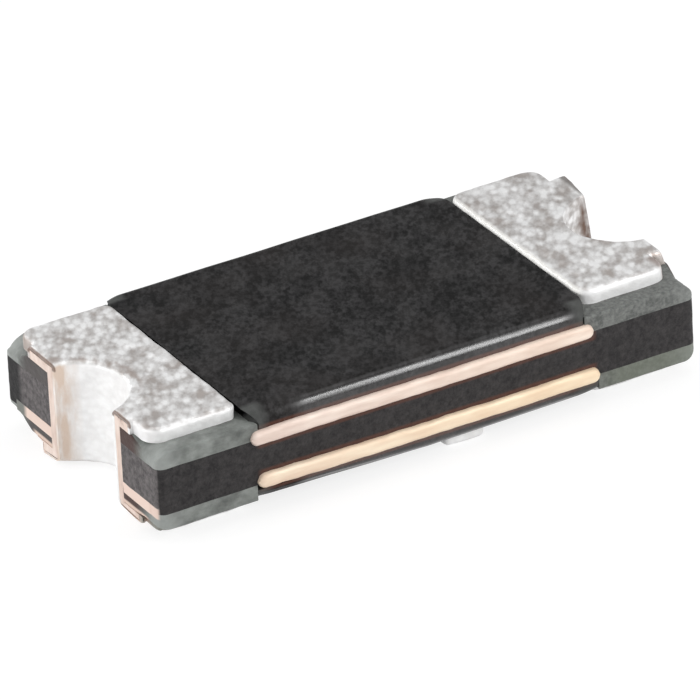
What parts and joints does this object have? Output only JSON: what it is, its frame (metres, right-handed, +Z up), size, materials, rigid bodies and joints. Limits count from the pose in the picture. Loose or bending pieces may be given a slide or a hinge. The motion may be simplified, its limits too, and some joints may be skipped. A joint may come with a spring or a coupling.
{
  "type": "resettable fuse",
  "caption": "Flat surface-mount chip that limits overcurrent: black polymer laminate with bright copper foil edges and tinned half-round solder terminals at its ends.",
  "frame": {"origin": "middle of the chip's outline on the plane of its solder pads", "axes": "+X along the chip from its left to its right terminal, +Y across it to the back, +Z up out of the circuit board"},
  "size_m": [0.0034, 0.0016, 0.0006],
  "materials": {
    "polymer_core": "matt, cut",
    "copper_foil": "smeared by the cut, pale copper",
    "resin": "matt, cut glass-filled resin",
    "terminal_copper": "cut, pale copper",
    "tin": "matt grained tin",
    "black_coating": "satin, fine grain"
  },
  "bodies": {
    "root": {"ptc_core": "polymer_core", "upper_foil": "copper_foil", "lower_foil": "copper_foil", "upper_resin_sheet": "resin", "lower_resin_sheet": "resin", "left_terminal": "terminal_copper", "right_terminal": "terminal_copper", "left_tin_plating": "tin", "right_tin_plating": "tin", "upper_coating": "black_coating", "lower_coating": "black_coating", "underside_land": "terminal_copper", "underside_land_tin": "tin"}
  },
  "joints": []
}
